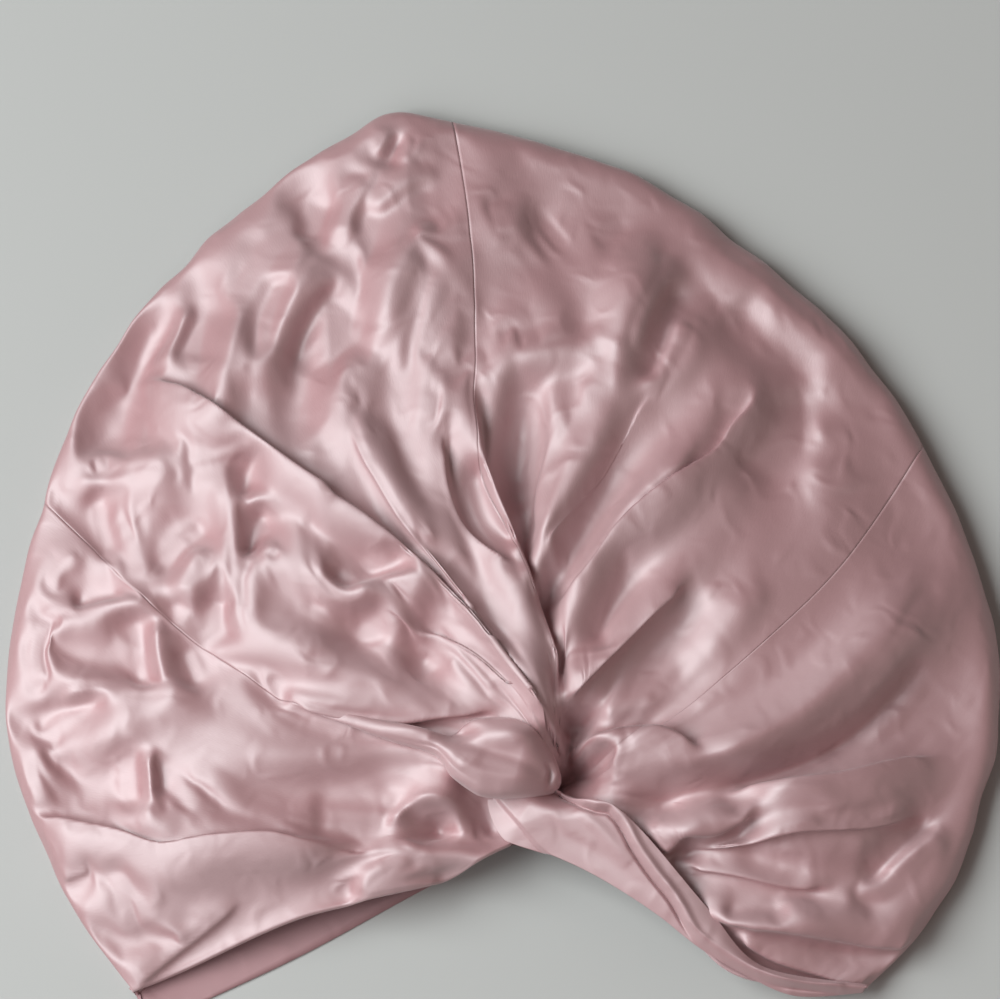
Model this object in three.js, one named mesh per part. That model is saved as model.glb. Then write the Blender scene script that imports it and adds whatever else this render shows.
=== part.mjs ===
// A twist-front silk hair wrap that lies on its back with its face opening towards -Y.
// Millimetres, +Z up. The origin is at the middle of its box, on the table.

import * as THREE from "three";

// Driving dimensions
const WALL = 1.4; // doubled silk
const SEAM_GAP = 0.6; // between neighbouring panels
const TWIST_GAP = 1.4; // taken off the width of the twist's two pieces, which touch nothing
const RIM_HEIGHT = 8; // where the front panels meet the back one, round the crown's edge
const ROLL_REACH = 15; // how far in from the rim the front turns over
const ROLL_RISE = 13; // how high that turn takes it
const CROWN_REACH = 95; // how far in from the rim the crown goes on rising
const CROWN_RISE = 11; // and by how much
const HEM_REACH = 32; // how far in from the face opening the front sinks
const HEM_DROP = 10; // and by how much at its edge
const HOLE = { x: 21, y: -74, reach: 16, depth: 8 }; // the pit of the twist
const FOLD_CLEAR = 14; // folds die out this near the rim
const FOLD_SCALE = 1.25; // how bold the folds are, on all of them
const WRAP_RISE = 13; // how far the twist's loop stands above its edges
const NOSE_SHARE = 0.14; // share of the loop's length that its round end takes
const TAIL_RISE = 3; // crown of the twist's tail
const TAIL_SINK = 9; // how far the tail dives to pass under the loop

const SILK = { color: 0xc9a3a6, roughness: 0.42, metalness: 0 };

// The rim from above, from the left ear over the crown to the right ear. A seam ends on each named point.
const RIM = [
  { x: -123, y: -143, ends: "hem_left" },
  { x: -150, y: -102 },
  { x: -166, y: -45 },
  { x: -154, y: 21, ends: "seam_left" },
  { x: -117, y: 92 },
  { x: -78, y: 128 },
  { x: -40, y: 152 },
  { x: -17, y: 151, ends: "seam_centre" },
  { x: 41, y: 135 },
  { x: 90, y: 101 },
  { x: 139, y: 40, ends: "seam_right" },
  { x: 162, y: -10 },
  { x: 164.6, y: -60 },
  { x: 145, y: -115 },
  { x: 121, y: -142, ends: "hem_right" },
];

// Seams and edges from above, from the twist outwards.
const HEM_LEFT = [[2, -96], [-24, -109], [-68, -120], [-106, -136], [-123, -143]];
const SEAM_LEFT_FORK = [-74, -49]; // the loop's tip, where the left seam divides
const SEAM_LEFT_OUTER = [SEAM_LEFT_FORK, [-113, -20], [-154, 21]];
const SEAM_LEFT_LOWER = [[-4, -85], [-12, -80], [-23, -69], [-40, -62], SEAM_LEFT_FORK];
const SEAM_LEFT_UPPER = [[8, -63], [-2, -57], [-18, -56], [-45, -55], SEAM_LEFT_FORK];
const SEAM_CENTRE = [[18, -66], [16, -41], [5, -6], [-10, 30], [-9, 69], [-11, 110], [-17, 151]];
const SEAM_RIGHT = [[25, -73], [50, -60], [84, -32], [114, -1], [139, 40]];
const TAIL_TOP = [[23, -82], [35, -85], [46, -94], [68, -119], [86, -137], [121, -142]];
const TAIL_FOOT = [[1, -95], [16, -100], [40, -112], [65, -129], [81, -140], [97, -146], [119, -144.5]];
const TAIL_HIDDEN = { top: [15, -76], foot: [2, -84] }; // the tail's inner end, under the loop
const LOOP_TOP = [[19.5, -73.5], [15, -67.5], [7, -63], [-2, -57.5], [-18, -56.5], [-45, -55.2], [-68, -50.5]];
const LOOP_FOOT = [[19.5, -76], [15, -81.5], [6, -84], [-3, -83.5], [-12, -79], [-23, -68], [-40, -61.5], [-68, -51.5]];
const NAPE = [[-117, -154], [-68, -131], [-20, -105], [14, -91], [46, -103], [72, -123], [99, -137], [117, -141]];

// Main folds of the front: each runs from the twist's side past a bend to its far end. Height is above the
// cloth (a trough is negative), widths are from crest to foot, and lean above 0 steepens the fold's right side.
const FOLD_COLUMNS = ["name", "near", "bend", "far", "height", "nearWidth", "farWidth", "lean"];
const FOLD_ROWS = [
  ["long_crease", [13, -58], [-47, 17], [-124, 65], 5, 8, 18, -0.3],
  ["second_crease", [15, -52], [-22, -7], [-52, 45], 4, 7, 12, -0.2],
  ["bundle_edge", [13, -54], [6, -16], [-15, 36], 5, 7, 10, 0.2],
  ["pleat_inner", [9, -52], [-8, -22], [-34, 8], 2.5, 5, 8, 0],
  ["corner_fold", [-29, 10], [-48, 32], [-56, 58], 4, 9, 11, 0.2],
  ["top_left_ridge", [-81, 62], [-74, 86], [-60, 110], 4, 10, 12, 0],
  ["rim_left_trough", [-134, 36], [-126, 66], [-110, 92], -5, 12, 11, 0],
  ["mid_left_ridge", [-94, 50], [-92, 70], [-90, 90], 4, 10, 10, 0],
  ["top_left_trough", [-68, 48], [-68, 70], [-72, 98], -4, 11, 12, 0],
  ["seam_side_ridge", [-42, 78], [-36, 98], [-30, 118], 4, 10, 11, 0],
  ["left_puff", [-30, -30], [-55, -2], [-96, 6], 4, 13, 14, 0],
  ["left_dent", [-20, -18], [-26, -30], [-32, -44], -4, 11, 11, 0],
  ["left_lower_puff", [-30, -44], [-66, -38], [-92, -20], 4, 12, 12, 0],
  ["gather_one", [10, -8], [22, 26], [56, 82], 5, 8, 15, -0.1],
  ["gather_two_trough", [14, -18], [30, 16], [58, 56], -5, 7, 11, 0],
  ["gather_three", [18, -30], [42, 12], [86, 62], 5, 9, 15, -0.2],
  ["gather_four", [23, -52], [42, -24], [70, -6], 5, 9, 12, 0.2],
  ["hump_right", [66, -34], [78, -22], [86, -8], 3, 10, 10, 0],
  ["shoulder_ridge", [64, 110], [104, 78], [122, 52], 3, 11, 11, 0],
  ["big_bump", [36, 64], [44, 86], [50, 112], 5, 14, 15, 0],
  ["bump_edge", [-2, 60], [14, 74], [40, 68], 3, 10, 10, 0],
  ["seam_trough", [3, 22], [6, 44], [10, 68], -5, 9, 10, 0],
  ["sweep_ridge", [28, -65], [104, -88], [144, 0], 6, 11, 19, 0.2],
  ["sweep_trough", [50, -84], [112, -76], [142, -16], -5, 10, 12, 0],
  ["side_ridge", [54, -92], [84, -78], [156, -66], 4, 9, 12, 0.1],
  ["side_trough", [54, -101], [92, -102], [118, -122], -4, 9, 10, 0],
  ["corner_ridge", [68, -118], [96, -126], [142, -124], 5, 9, 10, 0],
  ["side_hump", [92, -94], [118, -100], [148, -92], 4, 12, 14, 0],
  ["flap_crease", [-56, -99], [-96, -97], [-164, -84], 4, 10, 13, 0.2],
  ["band_trough", [-28, -76], [-64, -82], [-98, -78], -4, 11, 13, 0],
  ["left_edge_trough", [-120, -44], [-138, -34], [-158, -24], -4, 12, 12, 0],
  ["left_edge_ridge", [-126, -60], [-140, -58], [-160, -58], 3, 11, 11, 0],
  ["eye_dent", [-14, -90], [-26, -91], [-38, -88], -5, 9, 9, 0],
];
const FOLDS = FOLD_ROWS.map((row) => Object.fromEntries(FOLD_COLUMNS.map((c, i) => [c, row[i]])));
const FOLD_STEPS = 14; // straight steps that stand for a fold's curve

// Curves

const { clamp, lerp, smoothstep } = THREE.MathUtils;
const vectors = (points) => points.map(([x, y]) => new THREE.Vector2(x, y));
const spline = (...points) => new THREE.SplineCurve(vectors(points));

function joined(...curves) {
  const path = new THREE.CurvePath();
  curves.forEach((c) => path.add(c));
  return path;
}

const rimCurve = new THREE.SplineCurve(RIM.map(({ x, y }) => new THREE.Vector2(x, y)));
const RIM_STEPS = 140;
const rimPoints = rimCurve.getSpacedPoints(RIM_STEPS);

// The stretch of rim between two named ends.
function rimBetween(a, b) {
  const [start, end] = [a, b].map((name) => RIM.findIndex((p) => p.ends === name) / (RIM.length - 1));
  const STEPS = 30;
  const points = [];
  for (let i = 0; i <= STEPS; i++) points.push(rimCurve.getPoint(lerp(start, end, i / STEPS)).toArray());
  return spline(...points);
}

const hemLeft = spline(...HEM_LEFT);
const seamLeftOuter = spline(...SEAM_LEFT_OUTER);
const seamLeftLower = joined(spline(...SEAM_LEFT_LOWER), seamLeftOuter);
const seamLeftUpper = joined(spline(...SEAM_LEFT_UPPER), seamLeftOuter);
const seamCentre = spline(...SEAM_CENTRE);
const seamRight = spline(...SEAM_RIGHT);
const tailTop = spline(...TAIL_TOP);
const tailTopHidden = joined(spline(TAIL_HIDDEN.top, TAIL_TOP[0]), tailTop);
const tailFoot = spline(...TAIL_FOOT);
const tailFootHidden = joined(spline(TAIL_HIDDEN.foot, TAIL_FOOT[0]), tailFoot);
const loopFoot = spline(...LOOP_FOOT);
const loopTop = spline(...LOOP_TOP);
const nape = spline(...NAPE);

// The height of the front above the table

function distanceTo(points, x, y) {
  return Math.sqrt(Math.min(...points.map((p) => (p.x - x) ** 2 + (p.y - y) ** 2)));
}

const HEM_STEPS = 40;
const hemPoints = [...hemLeft.getSpacedPoints(HEM_STEPS), ...tailFoot.getSpacedPoints(HEM_STEPS)];

function baseHeight(x, y) {
  const fromRim = distanceTo(rimPoints, x, y);
  const fromHem = distanceTo(hemPoints, x, y);
  const roll = Math.sqrt(1 - (1 - clamp(fromRim / ROLL_REACH, 0, 1)) ** 2);
  const crown = CROWN_RISE * smoothstep(fromRim, 0, CROWN_REACH);
  const hem = HEM_DROP * (1 - smoothstep(fromHem, 0, HEM_REACH));
  const pit = HOLE.depth * (1 - smoothstep(Math.hypot(x - HOLE.x, y - HOLE.y), 0, HOLE.reach));
  return RIM_HEIGHT + roll * (ROLL_RISE + crown - hem - pit);
}

const foldCurves = FOLDS.map((fold) => {
  const curve = new THREE.QuadraticBezierCurve(...vectors([fold.near, fold.bend, fold.far]));
  return { fold, points: curve.getPoints(FOLD_STEPS) };
});

// How far along a fold a place lies (0 to 1), and how far off it, to the fold's left.
function placeOn(points, x, y) {
  let best = { along: 0, off: Infinity, side: 1 };
  for (let i = 0; i < points.length - 1; i++) {
    const [a, b] = [points[i], points[i + 1]];
    const [dx, dy] = [b.x - a.x, b.y - a.y];
    const t = clamp(((x - a.x) * dx + (y - a.y) * dy) / (dx * dx + dy * dy), 0, 1);
    const off = Math.hypot(x - a.x - t * dx, y - a.y - t * dy);
    const side = Math.sign(dx * (y - a.y) - dy * (x - a.x)) || 1;
    if (off < best.off) best = { along: (i + t) / (points.length - 1), off, side };
  }
  return best;
}

function foldHeight({ fold, points }, x, y) {
  const { along, off, side } = placeOn(points, x, y);
  const width = lerp(fold.nearWidth, fold.farWidth, along) * (1 + side * fold.lean);
  const across = (1 - clamp(off / width, 0, 1) ** 2) ** 2;
  const swell = smoothstep(along, -0.25, 0.15) * (1 - smoothstep(along, 0.55, 1.05));
  return FOLD_SCALE * fold.height * across * swell;
}

function frontHeight(x, y) {
  const folds = foldCurves.reduce((sum, f) => sum + foldHeight(f, x, y), 0);
  return baseHeight(x, y) + folds * smoothstep(distanceTo(rimPoints, x, y), 0, FOLD_CLEAR);
}

// Walls

const UP = new THREE.Vector3(0, 0, 1);

// A closed solid between two grids of points, grid[row][column], the upper one facing up.
function slab(upper, lower) {
  const [rows, columns] = [upper.length, upper[0].length];
  const points = [...upper.flat(), ...lower.flat()];
  const top = (r, c) => r * columns + c;
  const under = (r, c) => rows * columns + top(r, c);
  const index = [];
  // Each four-sided cell is split along its flatter diagonal, so that creases run on unbroken.
  const fall = (a, b) => Math.abs(points[a].z - points[b].z);
  const quad = (a, b, c, d) =>
    fall(a, c) < fall(b, d) ? index.push(a, b, c, a, c, d) : index.push(b, c, d, b, d, a);
  for (let r = 0; r < rows - 1; r++) {
    for (let c = 0; c < columns - 1; c++) {
      quad(top(r, c), top(r, c + 1), top(r + 1, c + 1), top(r + 1, c));
      quad(under(r, c), under(r + 1, c), under(r + 1, c + 1), under(r, c + 1));
    }
    quad(top(r, 0), top(r + 1, 0), under(r + 1, 0), under(r, 0));
    const last = columns - 1;
    quad(top(r + 1, last), top(r, last), under(r, last), under(r + 1, last));
  }
  for (let c = 0; c < columns - 1; c++) {
    quad(top(0, c + 1), top(0, c), under(0, c), under(0, c + 1));
    const last = rows - 1;
    quad(top(last, c), top(last, c + 1), under(last, c + 1), under(last, c));
  }
  return new THREE.BufferGeometry().setFromPoints(points).setIndex(index);
}

// The way a grid of points faces at one of them, kept upright along both sides so that neighbours stay clear.
function facing(grid, r, c) {
  const [rows, columns] = [grid.length, grid[0].length];
  const at = (i, j) => grid[clamp(i, 0, rows - 1)][clamp(j, 0, columns - 1)];
  const along = at(r + 1, c).clone().sub(at(r - 1, c));
  const across = at(r, c + 1).clone().sub(at(r, c - 1));
  const normal = across.cross(along).normalize();
  if (c === 0 || c === columns - 1) {
    const aside = along.clone().cross(UP).normalize();
    normal.addScaledVector(aside, -normal.dot(aside)).normalize();
  }
  return normal;
}

// Points between two edges that leave the twist, out to a far edge if there is one. Rows crowd towards the
// far end, where the cloth turns.
const ROW_CROWDING = 1.3;

function grid({ from, to, far, columns, rows, gap = SEAM_GAP }, heightAt) {
  const lines = [];
  for (let r = 0; r <= rows; r++) {
    const v = 1 - (1 - r / rows) ** ROW_CROWDING;
    const [a, b] = [from.getPointAt(v), to.getPointAt(v)];
    const inset = gap / 2 / a.distanceTo(b);
    const line = [];
    for (let c = 0; c <= columns; c++) {
      const s = lerp(inset, 1 - inset, c / columns);
      const p = a.clone().lerp(b, s);
      if (far) {
        const straight = far.getPointAt(0).lerp(far.getPointAt(1), s);
        p.addScaledVector(far.getPointAt(s).sub(straight), v);
      }
      line.push(new THREE.Vector3(p.x, p.y, heightAt(p.x, p.y, s, v)));
    }
    lines.push(line);
  }
  return lines;
}

// A panel of the front: a wall that follows the folds outside and in, and hangs from the rim.
const STEEPEST = 0.6; // a fold's wall is thickened across its slope down to this cosine

function panel(name, shape) {
  const smooth = grid(shape, baseHeight);
  const outer = grid(shape, frontHeight);
  const inner = outer.map((line, r) =>
    line.map((p, c) => {
      const inward = facing(smooth, r, c).negate();
      const slope = Math.max(STEEPEST, -inward.dot(facing(outer, r, c)));
      if (r === shape.rows) inward.setZ(0).normalize();
      return p.clone().addScaledVector(inward, WALL / slope);
    }),
  );
  [outer, inner].forEach((side) => side.at(-1).forEach((p) => p.setZ(RIM_HEIGHT + SEAM_GAP / 2)));
  return silkMesh(name, slab(outer, inner));
}

// A gathered band of the twist, several layers thick, between an upper and a lower height.
function bundle(name, shape, upperAt, lowerAt) {
  return silkMesh(name, slab(grid(shape, upperAt), grid(shape, lowerAt)));
}

function silkMesh(name, geometry) {
  const mesh = new THREE.Mesh(geometry, new THREE.MeshStandardMaterial(SILK));
  mesh.name = name;
  return mesh;
}

// Sub-parts

function crownLeft() {
  const far = rimBetween("seam_left", "seam_centre");
  return panel("crown_left", { from: seamLeftUpper, to: seamCentre, far, columns: 25, rows: 24 });
}

function crownRight() {
  const far = rimBetween("seam_centre", "seam_right");
  return panel("crown_right", { from: seamCentre, to: seamRight, far, columns: 25, rows: 24 });
}

function sideLeft() {
  const far = rimBetween("hem_left", "seam_left");
  return panel("side_left", { from: hemLeft, to: seamLeftLower, far, columns: 20, rows: 18 });
}

function sideRight() {
  const far = rimBetween("seam_right", "hem_right");
  return panel("side_right", { from: seamRight, to: tailTop, far, columns: 22, rows: 18 });
}

// The loop arches between its two edges, swells from its tip to the twist and ends in a round nose.
function twistWrap() {
  const shape = { from: loopFoot, to: loopTop, columns: 12, rows: 16, gap: TWIST_GAP };
  const lowerAt = (x, y) => baseHeight(x, y) - WALL;
  const upperAt = (x, y, s, v) => {
    const arch = Math.sqrt(1 - (2 * s - 1) ** 2);
    const swell = 1 - smoothstep(v, 0.35, 1);
    const nose = Math.sqrt(1 - (1 - clamp(v / NOSE_SHARE, 0, 1)) ** 2);
    return baseHeight(x, y) + arch * swell * WRAP_RISE * nose;
  };
  return bundle("twist_wrap", shape, upperAt, lowerAt);
}

// The tail dives under the loop at its start and is crowned across its width.
function twistTail() {
  const shape = { from: tailTopHidden, to: tailFootHidden, columns: 8, rows: 20, gap: TWIST_GAP };
  const lowerAt = (x, y, s, v) => baseHeight(x, y) - WALL - TAIL_SINK * (1 - smoothstep(v, 0.02, 0.2));
  const upperAt = (x, y, s, v) => lowerAt(x, y, s, v) + WALL + TAIL_RISE * Math.sin(Math.PI * s);
  return bundle("twist_tail", shape, upperAt, lowerAt);
}

// The back lies flat and turns up round its rim in a quarter circle.
function backPanel() {
  const BACK_COLUMNS = 44;
  const BACK_ROWS = 4;
  const TURN_STEPS = 4;
  const radius = RIM_HEIGHT - SEAM_GAP / 2;
  const grids = { upper: [], lower: [] };
  const rowShares = [];
  for (let r = 0; r < BACK_ROWS; r++) rowShares.push({ flat: r / BACK_ROWS, turn: 0 });
  for (let k = 0; k <= TURN_STEPS; k++) rowShares.push({ flat: 1, turn: k / TURN_STEPS });
  rowShares.forEach(({ flat, turn }) => {
    const [upper, lower] = [[], []];
    for (let c = 0; c <= BACK_COLUMNS; c++) {
      const s = c / BACK_COLUMNS;
      const start = nape.getPointAt(s);
      const end = rimCurve.getPointAt(s);
      const out = end.clone().sub(start);
      const reach = out.length();
      out.normalize();
      const round = Math.min(radius, 0.8 * reach);
      const angle = (turn * Math.PI) / 2;
      const travel = (reach - round) * flat;
      const at = (r, up) => {
        const p = start.clone().addScaledVector(out, travel + r * Math.sin(angle));
        return new THREE.Vector3(p.x, p.y, up + (radius - up) * (1 - Math.cos(angle)));
      };
      lower.push(at(round, 0));
      upper.push(at(round - WALL * turn, WALL));
    }
    grids.upper.push(upper);
    grids.lower.push(lower);
  });
  return silkMesh("back_panel", slab(grids.upper, grids.lower));
}

const hairWrap = new THREE.Group();
hairWrap.add(
  backPanel(),
  crownLeft(),
  crownRight(),
  sideLeft(),
  sideRight(),
  twistWrap(),
  twistTail(),
);

export default hairWrap;
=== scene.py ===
"""The look of a twist-front silk hair wrap that lies on its back on a pale table.

The front is one grid of cloth that fans out from the twist. It starts on a smooth form with broad folds and
a skin that is stretched over fold lines. It gets a little more cloth than fits, relaxes on ever finer grids
until that buckles into wrinkles, and is then split along its seams. The loop and tail of the twist and the
back are sheets of their own. Plan sizes are in millimetres and follow the solids'. Meshes are in metres.
"""

import bpy
import numpy as np
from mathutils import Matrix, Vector


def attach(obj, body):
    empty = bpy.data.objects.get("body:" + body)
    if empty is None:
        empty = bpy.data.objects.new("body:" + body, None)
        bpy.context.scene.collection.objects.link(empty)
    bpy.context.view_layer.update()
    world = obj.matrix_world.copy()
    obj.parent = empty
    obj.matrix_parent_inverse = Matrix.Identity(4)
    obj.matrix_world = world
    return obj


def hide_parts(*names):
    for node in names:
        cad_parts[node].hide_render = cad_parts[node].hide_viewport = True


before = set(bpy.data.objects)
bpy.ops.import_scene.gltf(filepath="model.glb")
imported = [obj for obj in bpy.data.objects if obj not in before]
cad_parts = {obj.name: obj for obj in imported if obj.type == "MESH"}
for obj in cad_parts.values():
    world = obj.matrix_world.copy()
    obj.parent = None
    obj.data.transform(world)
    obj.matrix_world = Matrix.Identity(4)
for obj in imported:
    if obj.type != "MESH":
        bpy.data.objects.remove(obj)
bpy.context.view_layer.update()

MM = 0.001

# Driving dimensions. The front rises as the solids do, but from a lower rim and in a tighter roll.
RIM_HEIGHT = 6  # where the front meets the back, round the crown's edge
ROLL_RISE = 13  # how high the front turns over, in from the rim
EDGE_REACH = 9  # width of the tight roll at the rim
EDGE_SHARE = 0.45  # its share of the rise, of which the softer shoulder behind it has the rest
SHOULDER_REACH = 42
CROWN_REACH = 95  # how far in from the rim the crown goes on rising
CROWN_RISE = 11  # and by how much
HEM_REACH = 32  # how far in from the face opening the front sinks
HEM_DROP = 10  # and by how much at its edge
HOLE = dict(x=21, y=-74, reach=16, depth=9)  # the pit of the twist
FOLD_CLEAR = 8  # broad folds die out this near the rim
FOLD_SCALE = 1.15  # how bold they all are
CLOTH = 0.9  # thickness shown, of two layers of silk
RIM_CURL = dict(radius=5, first=90, last=165)  # the front's turn under its rim, in degrees from upright
HEM_CURL = dict(radius=1.8, first=35, last=190)  # and under the left hem
CURL_ROWS = 8
HUB = (13, -79)  # where all strands meet under the twist
FORK_SHARE = 0.42  # how far out along the left seam its fork is
TAIL_HIDDEN = 0.12  # share of the tail that is under the loop

# The rim from above, from the left ear over the crown to the right ear
RIM = [
    (-123, -143), (-150, -102), (-166, -45), (-154, 22), (-140.5, 57.5), (-117.5, 92.5), (-79, 130),
    (-41, 155), (-17, 153.5), (41.5, 136), (91, 102), (119.5, 74), (141, 41), (162, -10), (164.6, -60),
    (145, -115), (121, -142),
]
RIM_ENDS = (0, 3, 8, 12, 16)  # points of the left hem, the three seams and the right end

# Seams and edges from above, from the twist outwards
HEM_LEFT = [(2, -96), (-24, -109), (-68, -120), (-106, -136), (-123, -143)]
SEAM_LEFT_FORK = (-74, -49)
SEAM_LEFT_OUTER = [SEAM_LEFT_FORK, (-113, -20), (-154, 22)]
SEAM_LEFT_LOWER = [(-2, -82), (-10, -77), (-22, -66.5), (-40, -60.5), SEAM_LEFT_FORK]
SEAM_LEFT_UPPER = [(8, -66), (-2, -63.5), (-18, -64), (-45, -58), SEAM_LEFT_FORK]
SEAM_CENTRE = [(18, -66), (16, -41), (5, -6), (-10, 30), (-9, 69), (-11, 110), (-17, 153.5)]
SEAM_RIGHT = [(25, -73), (50, -60), (84, -32), (114, -1), (141, 41)]
TAIL_TOP = [(15, -76), (23, -82), (35, -85), (46, -94), (68, -119), (86, -137), (121, -142)]
TAIL_FOOT = [
    (-5, -76), (-5, -83), (-3, -89.5), (0, -94.5), (4, -96.5), (16, -100.5), (28, -106), (40, -113),
    (52, -121), (65, -131), (81, -140), (97, -146), (119, -144.5),
]
SIDE_RIGHT_FOOT = [(18, -82), (28, -91), (38, -101), (60, -124), (80, -140), (121, -142)]
LOOP_TOP = [
    (19.3, -74), (16.5, -67.5), (10, -60), (2.6, -56.5), (-8, -56.8), (-13, -59), (-16.5, -61.8),
    (-21, -61.5), (-30, -59), (-45, -56), (-70, -50),
]
LOOP_FOOT = [
    (19.3, -76), (17, -79), (11, -81), (1, -82), (-6, -81.5), (-10, -80), (-17, -75), (-23, -68),
    (-40, -62.5), (-70, -51),
]
TAIL_LANE = [(-1.5, -82), (5, -90), (11, -97), (16, -101)]
TAIL_LIP = [
    (19, -80), (28, -86), (35, -87.5), (39, -92.5), (43, -100), (49.5, -109), (56, -117), (64, -130),
    (80, -141), (110, -145),
]
NAPE = [
    (-117, -154), (-68, -131), (-20, -105), (14, -91), (46, -103), (72, -123), (99, -137), (117, -141),
]

# The twist's loop
LOOP_ROWS = 150
LOOP_COLUMNS = 110
LOOP_CROWDING = 1.25  # its rows are closer together at its nose
LOOP_ARC = (-40, 220)  # degrees round it, from one tucked edge to the other
LOOP_WIDER = 1.04
LOOP_LIFT = 1  # how far its middle plane is above the front
LOOP_RISE = 10  # how far it stands above that
LOOP_ARCH = 0.7  # below 1 it is fuller than a round arch
LOOP_NOSE = 0.16  # share of its length that its round end takes
LOOP_NOSE_HEIGHT = 0.2  # share of its height at the tip of that
LOOP_TAPER = 0.3  # share of its length from which it gets lower
LOOP_SINK = 4  # how far its outer end sinks between the panels
LOOP_SINK_LENGTH = 0.2  # share of its length that sinks
LOOP_LOBES = [  # middle, reach both ways and height
    ((4, -62.5), (9, 4.5), 4.4),
    ((-14.5, -61.5), (5.5, 3), -7.5),
    ((-30, -60), (9, 3), 1.4),
]
LOOP_FOLDS = [  # line, height and width
    ([(-24, -63), (-12, -66), (2, -69.5), (14, -75)], -1.8, 2.6),
    ([(-22, -67), (-11, -74.5), (3, -77.5), (15, -77.5)], 1.4, 2.4),
    ([(14.5, -71), (15.5, -75), (14.5, -80)], -1.6, 0.9),
    ([(17, -70), (18, -74), (17, -79)], 1.2, 1.0),
    ([(-39, -62.5), (-29, -65.2), (-22, -67.2), (-16, -73.5), (-9, -78.5)], -0.9, 0.5),
]

# The twist's tail
TAIL_ROWS = 190
TAIL_COLUMNS = 90
TAIL_LIFT = 0.5  # how far it lies above the front
TAIL_RISE = 2.2  # how much higher its middle is
TAIL_SAG = 0.5867  # how far its edges turn down
TAIL_SAG_RATE = 2.2  # and how soon that dies out across it
TAIL_DIVE = 6  # how far its hidden end goes down
LANE_STEP = dict(height=2.8, width=1.0)
LIP_STEP = dict(height=2.6, width=1.2)
LIP_GROOVE = dict(depth=2.6, width=0.9)
LIP_ROLL = dict(height=1.4, width=1.5, inwards=2.2)
LIP_CLEAR = 5  # how far from the lower edge the lip is full
TAIL_FOLDS = [  # line, height and width
    ([(8, -86), (18, -93), (32, -101), (50, -114)], -0.9, 3.0),
    ([(24, -86), (32, -93), (42, -104)], 1.0, 2.2),
]

# The back
BACK_COLUMNS = 220
BACK_ROWS = 60
BACK_INSET = 2  # how far inside the rim its edge is
BACK_TURN = 4.5  # radius of its turn up to the front
BACK_TURN_SHARE = 0.8  # the most of its length that the turn takes
BACK_TURN_ROWS = 12

# Broad folds, much as in the solids: near, bend, far, height, width near and far, lean
BROAD_FOLDS = dict(
    long_crease=((13, -58), (-47, 17), (-124, 65), 5, 8, 18, -0.3),
    second_crease=((15, -52), (-22, -7), (-52, 45), 4, 7, 12, -0.2),
    bundle_edge=((13, -54), (6, -16), (-15, 36), 5, 7, 10, 0.2),
    pleat_inner=((9, -52), (-8, -22), (-34, 8), 2.5, 5, 8, 0),
    corner_fold=((-29, 10), (-48, 32), (-56, 58), 4, 9, 11, 0.2),
    top_left_ridge=((-81, 62), (-74, 86), (-60, 110), 4, 10, 12, 0),
    rim_left_trough=((-134, 36), (-126, 66), (-110, 92), -5, 12, 11, 0),
    mid_left_ridge=((-94, 50), (-92, 70), (-90, 90), 4, 10, 10, 0),
    top_left_trough=((-68, 48), (-68, 70), (-72, 98), -4, 11, 12, 0),
    seam_side_ridge=((-42, 78), (-36, 98), (-30, 118), 4, 10, 11, 0),
    left_puff=((-30, -30), (-55, -2), (-96, 6), 4, 13, 14, 0),
    left_dent=((-20, -18), (-26, -30), (-32, -44), -4, 11, 11, 0),
    left_lower_puff=((-30, -44), (-66, -38), (-92, -20), 4, 12, 12, 0),
    gather_one=((10, -8), (22, 26), (56, 82), 5, 8, 15, -0.1),
    gather_two_trough=((14, -18), (30, 16), (58, 56), -5, 7, 11, 0),
    gather_three=((18, -30), (42, 12), (86, 62), 5, 9, 15, -0.2),
    gather_four=((23, -52), (42, -24), (70, -6), 5, 9, 12, 0.2),
    hump_right=((66, -34), (78, -22), (86, -8), 3, 10, 10, 0),
    shoulder_ridge=((64, 110), (104, 78), (122, 52), 2, 11, 11, 0),
    big_bump=((36, 64), (44, 86), (50, 112), 5, 14, 15, 0),
    bump_edge=((-2, 60), (14, 74), (40, 68), 3, 10, 10, 0),
    seam_trough=((3, 22), (6, 44), (10, 68), -5, 9, 10, 0),
    sweep_ridge=((28, -65), (104, -88), (144, 0), 6, 11, 19, 0.2),
    sweep_trough=((50, -84), (112, -76), (142, -16), -5, 10, 12, 0),
    side_ridge=((54, -92), (84, -78), (156, -66), 4, 9, 12, 0.1),
    side_trough=((54, -101), (92, -102), (118, -122), -4, 9, 10, 0),
    corner_ridge=((68, -118), (96, -126), (142, -124), 5, 9, 10, 0),
    side_hump=((92, -94), (118, -100), (148, -92), 4, 12, 14, 0),
    flap_crease=((-56, -99), (-96, -97), (-164, -84), 4, 10, 13, 0.2),
    band_trough=((-28, -76), (-64, -82), (-98, -78), -4, 11, 13, 0),
    left_edge_trough=((-120, -44), (-138, -34), (-158, -24), -4, 12, 12, 0),
    left_edge_ridge=((-126, -60), (-140, -58), (-160, -58), 3, 11, 11, 0),
    eye_dent=((-14, -90), (-26, -91), (-38, -88), -5, 9, 9, 0),
)

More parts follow.
